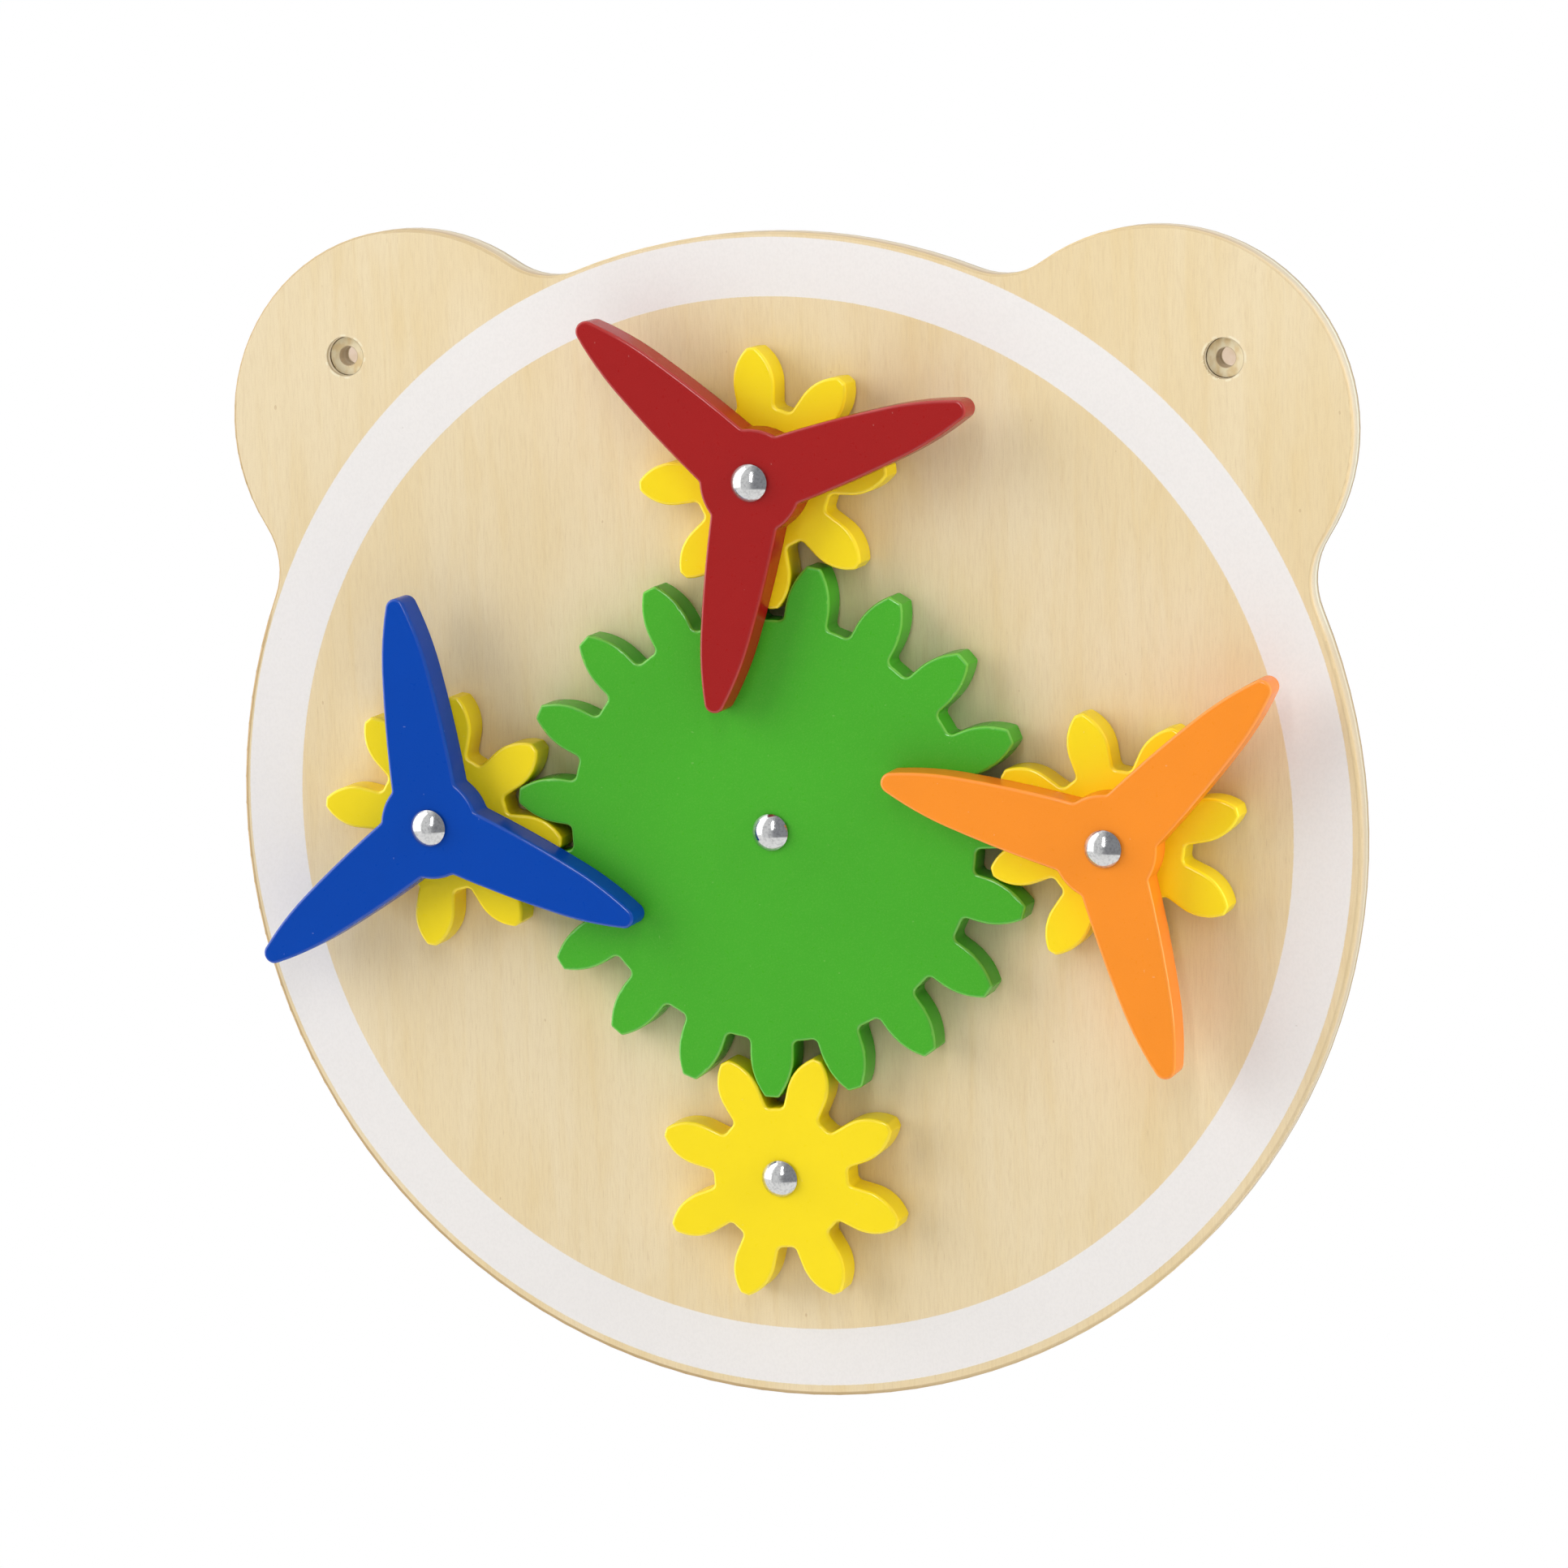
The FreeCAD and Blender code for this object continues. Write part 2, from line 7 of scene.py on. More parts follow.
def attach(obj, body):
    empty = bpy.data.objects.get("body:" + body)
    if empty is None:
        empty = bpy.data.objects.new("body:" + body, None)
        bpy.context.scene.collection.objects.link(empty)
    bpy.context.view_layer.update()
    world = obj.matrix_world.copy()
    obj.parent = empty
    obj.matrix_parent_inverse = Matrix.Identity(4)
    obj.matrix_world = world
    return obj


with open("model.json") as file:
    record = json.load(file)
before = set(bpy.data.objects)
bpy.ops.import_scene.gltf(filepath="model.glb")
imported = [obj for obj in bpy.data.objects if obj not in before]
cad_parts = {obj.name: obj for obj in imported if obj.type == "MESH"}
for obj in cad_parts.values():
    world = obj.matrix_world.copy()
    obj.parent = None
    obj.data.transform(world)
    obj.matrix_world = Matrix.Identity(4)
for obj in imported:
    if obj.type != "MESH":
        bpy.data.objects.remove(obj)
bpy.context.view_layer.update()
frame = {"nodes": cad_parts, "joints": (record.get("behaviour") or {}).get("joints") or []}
axles = {joint["child"]: Vector(joint["pos_m"]) for joint in frame["joints"]}
middle = axles["wheel"]
print("frame loaded:", len(frame["nodes"]), "pieces")


# Helpers for node trees

# a colour as a picker shows it, 0 to 255
def tint(red, green, blue):
    linear = []
    for value in (red / 255, green / 255, blue / 255):
        linear.append(value / 12.92 if value <= 0.04045 else ((value + 0.055) / 1.055) ** 2.4)
    return (*linear, 1.0)


# gives each input its value or its link
def fill(tree, node, inputs):
    for key, value in inputs.items():
        if isinstance(value, bpy.types.NodeSocket):
            tree.links.new(value, node.inputs[key])
        else:
            node.inputs[key].default_value = value
    return node


def add(tree, kind, inputs, **settings):
    node = tree.nodes.new(kind)
    for name, value in settings.items():
        setattr(node, name, value)
    return fill(tree, node, inputs)


def maths(tree, operation, *values):
    return add(tree, "ShaderNodeMath", dict(enumerate(values)), operation=operation).outputs[0]


def times(tree, first, second):
    return maths(tree, "MULTIPLY", first, second)


# full where the mask is empty
def opposite(tree, mask):
    return maths(tree, "SUBTRACT", 1.0, mask)


# 0 at low, 1 at high, smooth between
def ramp(tree, value, low, high):
    spans = {"Value": value, "From Min": low, "From Max": high}
    return add(tree, "ShaderNodeMapRange", spans, interpolation_type="SMOOTHSTEP").outputs[0]


# 1 between two values, with soft ends
def band(tree, value, low, high, soft):
    rising = ramp(tree, value, low - soft, low + soft)
    return maths(tree, "SUBTRACT", rising, ramp(tree, value, high - soft, high + soft))


def mix(tree, mask, first, second, how="MIX"):
    inputs = {0: mask, 6: first, 7: second}
    return add(tree, "ShaderNodeMix", inputs, data_type="RGBA", blend_type=how).outputs[2]


# a pattern's stretch along x, y and z: smaller numbers draw it out
even = (1, 1, 1)


def noise(tree, coords, stretch, scale, detail=2.0, distortion=0.0):
    placed = add(tree, "ShaderNodeMapping", {"Vector": coords, "Scale": stretch}).outputs[0]
    inputs = {"Vector": placed, "Scale": scale, "Detail": detail, "Distortion": distortion}
    return add(tree, "ShaderNodeTexNoise", inputs).outputs[0]


# how squarely the surface faces along x (0), y (1) or z (2)
def facingAlong(tree, axis):
    normal = add(tree, "ShaderNodeTexCoord", {}).outputs["Normal"]
    return maths(tree, "ABSOLUTE", add(tree, "ShaderNodeSeparateXYZ", {0: normal}).outputs[axis])


def distance(tree, across, along):
    squares = maths(tree, "MULTIPLY_ADD", across, across, times(tree, along, along))
    return maths(tree, "SQRT", squares)


def newGroup(name, inputs, outputs):
    group = bpy.data.node_groups.new(name, "ShaderNodeTree")
    kinds = {"vector": "NodeSocketVector", "color": "NodeSocketColor", "value": "NodeSocketFloat"}
    for label, kind in inputs:
        group.interface.new_socket(label, in_out="INPUT", socket_type=kinds[kind])
    for label, kind in outputs:
        group.interface.new_socket(label, in_out="OUTPUT", socket_type=kinds[kind])
    start = group.nodes.new("NodeGroupInput").outputs
    end = group.nodes.new("NodeGroupOutput")
    return group, start, end


def useGroup(tree, group, inputs):
    node = tree.nodes.new("ShaderNodeGroup")
    node.node_tree = group
    return fill(tree, node, inputs).outputs


def newMaterial(name, settings):
    material = bpy.data.materials.new(name)
    material.use_nodes = True
    tree = material.node_tree
    surface = tree.nodes["Principled BSDF"]
    fill(tree, surface, settings)
    coords = add(tree, "ShaderNodeTexCoord", {}).outputs["Object"]
    return material, tree, surface, coords


def bump(tree, height, depth):
    return add(tree, "ShaderNodeBump", {"Height": height, "Distance": depth}).outputs[0]


def finishNodes(names, material):
    for name in names:
        slots = frame["nodes"][name].data.materials
        slots.clear()
        slots.append(material)


# Grain that runs up and down. Each mark has its stretch along the fibre, fineness, detail and waviness,
# the pattern's values where it begins and is full, and its share of the tone
grainMarks = {
    "clouds": {"along": 0.3, "fine": 34, "detail": 2, "wavy": 0.6, "from": 0.3, "full": 0.72, "share": 0.5},
    "streaks": {"along": 0.1, "fine": 190, "detail": 3, "wavy": 0.9, "from": 0.42, "full": 0.78,
                "share": 0.32},
    "lines": {"along": 0.045, "fine": 950, "detail": 2, "wavy": 0.4, "from": 0.4, "full": 0.8, "share": 0.07},
    "fibres": {"along": 0.07, "fine": 3300, "detail": 2, "wavy": 0, "from": 0.4, "full": 0.8, "share": 0.2},
    "grit": {"along": 0.6, "fine": 4200, "detail": 1, "wavy": 0, "from": 0.45, "full": 0.8, "share": 0.14},
    "flecks": {"along": 0.12, "fine": 1900, "detail": 0, "wavy": 0, "from": 0.76, "full": 0.84,
               "share": 0.22},
    "specks": {"along": 0.6, "fine": 620, "detail": 0, "wavy": 0, "from": 0.87, "full": 0.9, "share": 0.5},
}


def makeGrain():
    group, given, end = newGroup("grainFigure",
                                 [("Coords", "vector"), ("Pale", "color"), ("Warm", "color"),
                                  ("Fibre", "color")],
                                 [("Color", "color"), ("Roughness", "value"), ("Height", "value")])
    pattern = {}
    mark = {}
    for name, look in grainMarks.items():
        pattern[name] = noise(group, given["Coords"], (1, 1, look["along"]), look["fine"], look["detail"],
                              look["wavy"])
        mark[name] = ramp(group, pattern[name], look["from"], look["full"])

    # the named marks one on another, each with its share
    def together(first, *others):
        total = times(group, mark[first], grainMarks[first]["share"])
        for name in others:
            total = maths(group, "MULTIPLY_ADD", mark[name], grainMarks[name]["share"], total)
        return total

    color = mix(group, together("clouds", "streaks"), given["Pale"], given["Warm"])
    dark = together("lines", "fibres", "grit", "flecks", "specks")
    color = mix(group, dark, color, given["Fibre"])
    rough = maths(group, "MULTIPLY_ADD", pattern["fibres"], 0.16, 0.5)
    height = maths(group, "SUBTRACT", pattern["fibres"], times(group, mark["flecks"], 0.5))
    fill(group, end, {"Color": color, "Roughness": rough, "Height": height})
    return group


# Paint on sanded wood: slight waves, fine orange peel, and rims where it is thinner or rubbed; the rims are
# lighter, partly thinner paint and partly a painted highlight
paintMarks = {"gritShare": 0.14, "dustShare": 0.18, "baseRough": 0.25, "peelRough": 0.08, "chipRough": 0.25,
              "waveTone": (0.97, 0.97, 0.97, 1)}


def makePaint():
    group, given, end = newGroup("paintCoat",
                                 [("Coords", "vector"), ("Base", "color"), ("Wall", "color"),
                                  ("Rim", "color"), ("Chip", "color"), ("RimShare", "value")],
                                 [("Color", "color"), ("Roughness", "value"), ("Height", "value"),
                                  ("Gloss", "value")])
    coords = given["Coords"]
    facing = facingAlong(group, 1)
    offWall = ramp(group, facing, 0.2, 0.5)
    # the rounded rims, where the paint is thinner and a highlight is painted
    rim = maths(group, "SUBTRACT", offWall, ramp(group, facing, 0.82, 0.97))
    flat = ramp(group, facing, 0.9, 0.99)
    waves = noise(group, coords, even, 30, 2)
    peel = noise(group, coords, even, 900, 2)
    dust = ramp(group, noise(group, coords, even, 900, 0), 0.89, 0.92)
    grit = times(group, ramp(group, noise(group, coords, even, 3000, 1), 0.45, 0.8), flat)
    rubbed = ramp(group, noise(group, coords, even, 420, 3), 0.7, 0.74)
    worn = ramp(group, noise(group, coords, even, 40, 1), 0.62, 0.7)
    chips = times(group, times(group, rubbed, worn), rim)
    # the cut walls take a darker copy of the face colour, a painted shade
    color = mix(group, ramp(group, facing, 0.1, 0.35), given["Wall"], given["Base"])
    color = mix(group, ramp(group, waves, 0.3, 0.75), color, paintMarks["waveTone"], "MULTIPLY")
    color = mix(group, times(group, grit, paintMarks["gritShare"]), color, given["Rim"])
    # the rims lighter: thinner paint, and a painted highlight
    color = mix(group, times(group, rim, given["RimShare"]), color, given["Rim"])
    color = mix(group, times(group, dust, paintMarks["dustShare"]), color, given["Chip"])
    color = mix(group, chips, color, given["Chip"])
    rough = maths(group, "MULTIPLY_ADD", times(group, peel, flat), paintMarks["peelRough"],
                  paintMarks["baseRough"])
    rough = maths(group, "MULTIPLY_ADD", chips, paintMarks["chipRough"], rough)
    height = times(group, maths(group, "ADD", peel, dust), flat)
    height = maths(group, "SUBTRACT", height, chips)
    gloss = maths(group, "SUBTRACT", offWall, ramp(group, facing, 0.98, 0.998))
    gloss = times(group, gloss, ramp(group, waves, 0.2, 0.5))
    fill(group, end, {"Color": color, "Roughness": rough, "Height": height, "Gloss": gloss})
    return group


# Metal with dull patches, fine dimples and hair scratches
def makeMetal():
    group, given, end = newGroup("metalMarks",
                                 [("Coords", "vector"), ("Bright", "color"), ("Dull", "color")],
                                 [("Color", "color"), ("Roughness", "value"), ("Height", "value")])
    coords = given["Coords"]
    dull = ramp(group, noise(group, coords, even, 1400, 3), 0.42, 0.72)
    dimples = noise(group, coords, even, 4200, 2)
    scratches = ramp(group, noise(group, coords, (1, 1, 0.06), 3800, 1, 1.2), 0.66, 0.74)
    color = mix(group, dull, given["Bright"], given["Dull"])
    rough = maths(group, "MULTIPLY_ADD", dull, 0.08, 0.11)
    rough = maths(group, "MULTIPLY_ADD", scratches, 0.06, rough)
    height = maths(group, "SUBTRACT", dimples, times(group, scratches, 0.4))
    fill(group, end, {"Color": color, "Roughness": rough, "Height": height})
    return group


# Moulded plastic: faint cloudiness and a fine satin grain
def makePlastic():
    group, given, end = newGroup("mouldedPlastic",
                                 [("Coords", "vector"), ("Base", "color"), ("Shade", "color")],
                                 [("Color", "color"), ("Roughness", "value"), ("Height", "value")])
    coords = given["Coords"]
    clouds = ramp(group, noise(group, coords, even, 160, 2), 0.3, 0.75)
    satin = noise(group, coords, even, 4200, 1)
    color = mix(group, clouds, given["Base"], given["Shade"])
    rough = maths(group, "MULTIPLY_ADD", satin, 0.2, 0.35)
    fill(group, end, {"Color": color, "Roughness": rough, "Height": satin})
    return group


grainFigure = makeGrain()
paintCoat = makePaint()
metalMarks = makeMetal()
mouldedPlastic = makePlastic()
print("shared effects made")


# The board: veneer faces, eight plies on every cut wall, a printed ring, and two screw seats
board = {
    "pale": tint(238, 220, 183),
    "warm": tint(231, 206, 154),
    "fibre": tint(205, 176, 132),
    "ringColor": tint(240, 236, 233),
    "ringShade": tint(237, 233, 230),
    "ringSpeck": tint(205, 198, 190),
    "fuzz": tint(190, 170, 138),
    # the seat floor is painted paler than it is, painted light in the recess
    "seatFloor": tint(240, 228, 196),
    "seatTan": tint(228, 206, 160),
    "seatWall": tint(244, 234, 212),
    # a dark line at the seat's edges; in the seat's corner it is painted shade
    "seatLine": tint(98, 74, 44),
    "bore": tint(206, 184, 150),
    "edge": tint(186, 157, 113),
    "torn": tint(246, 236, 208),
    "thick": 0.0095,
    "ringAbove": 0.0017,
    "ringOuter": 0.165,
    "ringInner": 0.1484,
    "ringRagged": 0.0003,
    "roundAbove": 0.0008,
    "roundRadius": 0.1672,
    "stripTop": -0.08,
    "holeReach": 0.130,
    "holeRadius": 0.0028,
    "seatRadius": 0.0056,
    "seatDeep": 0.0026,
    "plyWaver": 0.03,
    "plyLine": 0.008,
    "plyLineTone": 0.78,
    # where each ply begins behind the front, as a share of the thickness, with its tone on walls that face
    # up or down and on walls that face sideways
    "plies": [
        (0.00, tint(214, 192, 158), tint(224, 208, 176)),
        (0.14, tint(198, 174, 142), tint(218, 202, 172)),
        (0.29, tint(206, 186, 158), tint(210, 198, 174)),
        (0.43, tint(214, 198, 174), tint(206, 195, 172)),
        (0.58, tint(220, 208, 186), tint(221, 218, 201)),
        (0.73, tint(216, 204, 184), tint(190, 176, 150)),
        (0.83, tint(196, 184, 164), tint(150, 132, 104)),
        (0.93, tint(216, 208, 194), tint(214, 208, 192)),
    ],
}


# the plies from front to back, with a darker line where two meet
def plyStack(tree, share, which):
    node = add(tree, "ShaderNodeValToRGB", {0: share})
    stops = node.color_ramp.elements
    while len(stops) > 1:
        stops.remove(stops[-1])
    stops[0].position = 0.0
    stops[0].color = board["plies"][0][which]
    for before, ply in zip(board["plies"], board["plies"][1:]):
        stops.new(ply[0] - board["plyLine"]).color = before[which]
        stops.new(ply[0]).color = [value * board["plyLineTone"] for value in ply[which][:3]] + [1]
        stops.new(ply[0] + board["plyLine"]).color = ply[which]
    return node.outputs[0]


# cut walls: plies that waver a little, and fuzz
def cutWalls(tree, coords, share):
    waver = board["plyWaver"]
    bent = maths(tree, "MULTIPLY_ADD", noise(tree, coords, even, 60, 2), waver,
                 maths(tree, "SUBTRACT", share, waver / 2))
    sideways = ramp(tree, facingAlong(tree, 0), 0.2, 0.8)
    layers = mix(tree, sideways, plyStack(tree, bent, 1), plyStack(tree, bent, 2))
    fuzz = noise(tree, coords, (1, 2.2, 1), 1300, 3)
    layers = mix(tree, times(tree, ramp(tree, fuzz, 0.42, 0.8), 0.45), layers, board["fuzz"])
    return layers, fuzz


# screw seats: a pale wall, a floor painted paler as painted light, a dark line in the corner that is painted
# shade, a browner bore
def screwSeat(tree, coords, fromHole, depth, layers):
    radius = board["seatRadius"]
    patches = ramp(tree, noise(tree, coords, (1, 1, 0.6), 420, 2), 0.4, 0.65)
    # the floor's colours, painted paler to stand in for light in the recess
    seat = mix(tree, patches, board["seatFloor"], board["seatTan"])
    onWall = opposite(tree, ramp(tree, depth, board["seatDeep"] - 0.0006, board["seatDeep"] - 0.0002))
    seat = mix(tree, onWall, seat, board["seatWall"])
    # a dark line in the floor's corner: painted shade
    burnt = band(tree, fromHole, radius - 0.0002, radius + 0.0001, 0.00006)
    burnt = times(tree, burnt, ramp(tree, noise(tree, coords, even, 260, 2), 0.1, 0.5))
    seat = mix(tree, times(tree, burnt, opposite(tree, onWall)), seat, board["seatLine"])
    hole = board["holeRadius"]
    inBore = opposite(tree, ramp(tree, fromHole, hole + 0.00005, hole + 0.0002))
    return mix(tree, inBore, seat, mix(tree, 0.62, layers, board["bore"]))


# the front face beside a seat: a thin dark line at the seat's edge, and pale torn wood outside it
def seatSurround(tree, coords, fromHole, inner, wood):
    radius = board["seatRadius"]
    line = times(tree, band(tree, fromHole, radius - 0.00005, radius + 0.00015, 0.00008), 0.45)
    wood = mix(tree, times(tree, line, opposite(tree, inner)), wood, board["seatLine"])
    torn = band(tree, fromHole, radius + 0.0002, radius + 0.0008, 0.0002)
    torn = times(tree, torn, ramp(tree, noise(tree, coords, even, 500, 2), 0.45, 0.6))
    return mix(tree, times(tree, torn, 0.7), wood, board["torn"])


# where the rounded outer edge and a narrow strip beside it are browner, most of all at the left and below
def edgeWear(tree, coords, x, z):
    radius = board["roundRadius"]
    slope = 0.6
    leaning = add(tree, "ShaderNodeVectorMath", {0: coords, 1: (-1, 0, -slope)}, operation="DOT_PRODUCT")
    leaning = maths(tree, "ADD", leaning.outputs["Value"], middle.z * slope)
    leaning = ramp(tree, leaning, radius * -0.3, radius * 0.9)
    facing = facingAlong(tree, 1)
    rounded = times(tree, ramp(tree, facing, 0.02, 0.3), opposite(tree, ramp(tree, facing, 0.95, 0.995)))
    fromRound = distance(tree, x, maths(tree, "SUBTRACT", z, middle.z + board["roundAbove"]))
    beside = ramp(tree, fromRound, radius - 0.0013, radius - 0.0009)
    below = opposite(tree, ramp(tree, z, board["stripTop"], board["stripTop"] + 0.008))
    beside = times(tree, times(tree, beside, below), 0.9)
    worn = maths(tree, "MULTIPLY_ADD", leaning, 0.7, 0.3)
    return times(tree, worn, maths(tree, "MAXIMUM", rounded, beside))


# the printed ring, on the front face only: where it is, and its ink
def printedRing(tree, coords, x, z, depth):
    ragged = board["ringRagged"]
    fromMiddle = distance(tree, maths(tree, "SUBTRACT", x, middle.x),
                          maths(tree, "SUBTRACT", z, middle.z + board["ringAbove"]))
    fromMiddle = maths(tree, "MULTIPLY_ADD", noise(tree, coords, even, 2600, 2), ragged,
                       maths(tree, "SUBTRACT", fromMiddle, ragged / 2))
    ring = band(tree, fromMiddle, board["ringInner"], board["ringOuter"], 0.00012)
    ring = times(tree, ring, opposite(tree, ramp(tree, depth, 0.00004, 0.00016)))
    mottle = ramp(tree, noise(tree, coords, (1, 1, 0.7), 1500, 2), 0.35, 0.7)
    ink = mix(tree, mottle, board["ringColor"], board["ringShade"])
    specks = ramp(tree, noise(tree, coords, even, 760, 1), 0.82, 0.85)
    ink = mix(tree, times(tree, specks, 0.5), ink, board["ringSpeck"])
    return ring, ink


def finishBoard():
    material, tree, surface, coords = newMaterial("plywoodBoard", {"IOR": 1.45, "Specular IOR Level": 0.2})
    x, y, z = add(tree, "ShaderNodeSeparateXYZ", {0: coords}).outputs
    depth = maths(tree, "ADD", y, board["thick"])
    share = maths(tree, "DIVIDE", depth, board["thick"])
    face = useGroup(tree, grainFigure, {"Coords": coords, "Pale": board["pale"], "Warm": board["warm"],
                                        "Fibre": board["fibre"]})
    layers, fuzz = cutWalls(tree, coords, share)
    inner = band(tree, share, 0.092, 0.99, 0.006)
    fromHole = distance(tree, maths(tree, "SUBTRACT", maths(tree, "ABSOLUTE", x), board["holeReach"]), z)
    seat = screwSeat(tree, coords, fromHole, depth, layers)
    radius = board["seatRadius"]
    nearHole = opposite(tree, ramp(tree, fromHole, radius + 0.0002, radius + 0.0004))
    wood = mix(tree, inner, face["Color"], mix(tree, nearHole, layers, seat))
    away = ramp(tree, fromHole, radius + 0.0006, radius + 0.001)
    wood = mix(tree, times(tree, edgeWear(tree, coords, x, z), away), wood, board["edge"])
    wood = seatSurround(tree, coords, fromHole, inner, wood)
    ring, ink = printedRing(tree, coords, x, z, depth)
    color = mix(tree, ring, wood, ink)
    rough = maths(tree, "MULTIPLY_ADD", inner, 0.2, face["Roughness"])
    height = maths(tree, "MULTIPLY_ADD", times(tree, inner, fuzz), 3.0, face["Height"])
    height = times(tree, height, opposite(tree, times(tree, ring, 0.8)))
    fill(tree, surface, {"Base Color": color, "Roughness": rough, "Normal": bump(tree, height, 0.00004)})
    finishNodes(["panel"], material)


finishBoard()
print("board finished")


# Painted pieces: the colours of the faces, of the cut walls (darker, a painted shade), of the thinner rims
# (lighter, partly a painted highlight) and of a chip, the rims' share, and the gloss
paints = {
    "greenPaint": {"nodes": ["drive_wheel"], "base": tint(70, 174, 38), "wall": tint(62, 168, 26),
                   "rim": tint(134, 208, 84), "chip": tint(190, 214, 150), "rimShare": 0.6, "gloss": 0.22},
    "yellowPaint": {"nodes": ["top_pinion", "left_pinion", "right_pinion", "bottom_pinion"],
                    "base": tint(255, 227, 24), "wall": tint(238, 210, 6), "rim": tint(255, 230, 50),
                    "chip": tint(255, 240, 170), "rimShare": 0.2, "gloss": 0.2},
    "redPaint": {"nodes": ["red_propeller"], "base": tint(160, 22, 22), "wall": tint(156, 20, 18),
                 "rim": tint(190, 66, 58), "chip": tint(240, 205, 195), "rimShare": 0.45, "gloss": 0.2},
    "bluePaint": {"nodes": ["blue_propeller"], "base": tint(0, 68, 172), "wall": tint(0, 66, 168),
                  "rim": tint(4, 84, 186), "chip": tint(200, 215, 238), "rimShare": 0.3, "gloss": 0.1},
    "orangePaint": {"nodes": ["orange_propeller"], "base": tint(252, 146, 38), "wall": tint(236, 130, 32),
                    "rim": tint(255, 166, 80), "chip": tint(255, 226, 196), "rimShare": 0.2, "gloss": 0.2},
}


def finishPaint(name, look):
    material, tree, surface, coords = newMaterial(name, {"IOR": 1.45, "Specular IOR Level": look["gloss"],
                                                         "Coat Roughness": 0.1})
    coat = useGroup(tree, paintCoat, {"Coords": coords, "Base": look["base"], "Wall": look["wall"],
                                      "Rim": look["rim"], "Chip": look["chip"], "RimShare": look["rimShare"]})
    fill(tree, surface, {"Base Color": coat["Color"], "Roughness": coat["Roughness"],
                         "Coat Weight": coat["Gloss"], "Normal": bump(tree, coat["Height"], 0.000006)})
    finishNodes(look["nodes"], material)


for name, look in paints.items():
    finishPaint(name, look)
print("gears and propellers painted")


# Axles, washers, nuts, bushes and pegs
axleNames = ("centre", "top", "left", "right", "bottom")
hardware = {
    "polishedAluminium": {"group": metalMarks, "nodes": [place + "_axle" for place in axleNames],
                          "bump": 0.000003, "settings": {"Metallic": 1.0},
                          "colors": {"Bright": tint(217, 217, 216), "Dull": tint(190, 190, 190)}},
    "zincSteel": {"group": metalMarks, "nodes": ["rear_washers", "lock_nuts"],
                  "bump": 0.00002, "settings": {"Metallic": 1.0},
                  "colors": {"Bright": tint(206, 209, 214), "Dull": tint(172, 175, 180)}},
    "naturalNylon": {"group": mouldedPlastic,
                     "nodes": ["front_washers"] + [place + "_bush" for place in axleNames],
                     "bump": 0.00001, "settings": {"IOR": 1.53},
                     "colors": {"Base": tint(238, 237, 230), "Shade": tint(226, 224, 214)}},
    "bareBeech": {"group": grainFigure, "nodes": ["top_dowels", "left_dowels", "right_dowels"],
                  "bump": 0.00003, "settings": {"IOR": 1.45},
                  "colors": {"Pale": tint(222, 192, 150), "Warm": tint(206, 168, 122),
                             "Fibre": tint(170, 128, 84)}},
}


def finishHardware(name, look):
    material, tree, surface, coords = newMaterial(name, look["settings"])
    marks = useGroup(tree, look["group"], {"Coords": coords, **look["colors"]})
    fill(tree, surface, {"Base Color": marks["Color"], "Roughness": marks["Roughness"],
                         "Normal": bump(tree, marks["Height"], look["bump"])})
    finishNodes(look["nodes"], material)


for name, look in hardware.items():
    finishHardware(name, look)
print("axles, washers and nuts finished")


# White nylon rings pressed into the collars of the lock nuts, a little proud of them
nutRings = {"radius": 0.00283, "thick": 0.00036, "flatness": 0.6, "cutAt": 0.4, "collarBack": -0.0006,
            "proud": 0.00014}


def makeNutRings():
    bpy.ops.object.select_all(action="DESELECT")
    halfThick = nutRings["thick"] * nutRings["flatness"]
    back = nutRings["collarBack"] + nutRings["proud"]
    bpy.ops.mesh.primitive_torus_add(major_segments=48, minor_segments=14, major_radius=nutRings["radius"],
                                     minor_radius=nutRings["thick"], rotation=(math.pi / 2, 0, 0))
    first = bpy.context.object
    bpy.ops.object.transform_apply(rotation=True)
    bpy.ops.object.mode_set(mode="EDIT")
    bpy.ops.mesh.select_all(action="SELECT")
    bpy.ops.transform.resize(value=(1, nutRings["flatness"], 1), center_override=(0, 0, 0))
    # the hidden half ends flat inside the nut
    bpy.ops.mesh.bisect(plane_co=(0, -halfThick * nutRings["cutAt"], 0), plane_no=(0, 1, 0),
                        use_fill=True, clear_inner=True)
    bpy.ops.object.mode_set(mode="OBJECT")
    bpy.ops.object.shade_smooth_by_angle(angle=math.radians(40))
    for body, at in axles.items():
        item = first.copy()
        item.data = first.data.copy()
        item.name = body + "_nut_ring"
        item.data.name = item.name
        bpy.context.scene.collection.objects.link(item)
        item.data.transform(Matrix.Translation((at.x, back - halfThick, at.z)))
        item.data.materials.append(bpy.data.materials["naturalNylon"])
        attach(item, "root")
    bpy.data.objects.remove(first)


makeNutRings()
print("nut rings placed")


# Torn fibres round the left edge of the right screw seat: angles and leans in degrees, lengths as shares of
# the usual one, and the other sizes in metres or as shares
splinters = {"angles": (108, 121, 130, 146, 158, 171, 186, 199, 214, 229, 241, 256),
             "lengths": (0.9, 1.5, 1.1, 1.7, 1.2, 0.8, 1.4, 1.0, 1.6, 1.3, 0.9, 1.2),
             "leans": (24, -38, 62, -20, 45, -58, 30, -44, 66, -28, 40, -52),
             "length": 0.0010, "thick": 0.00013, "tip": 0.25, "flatness": 0.5, "curl": 0.00022}


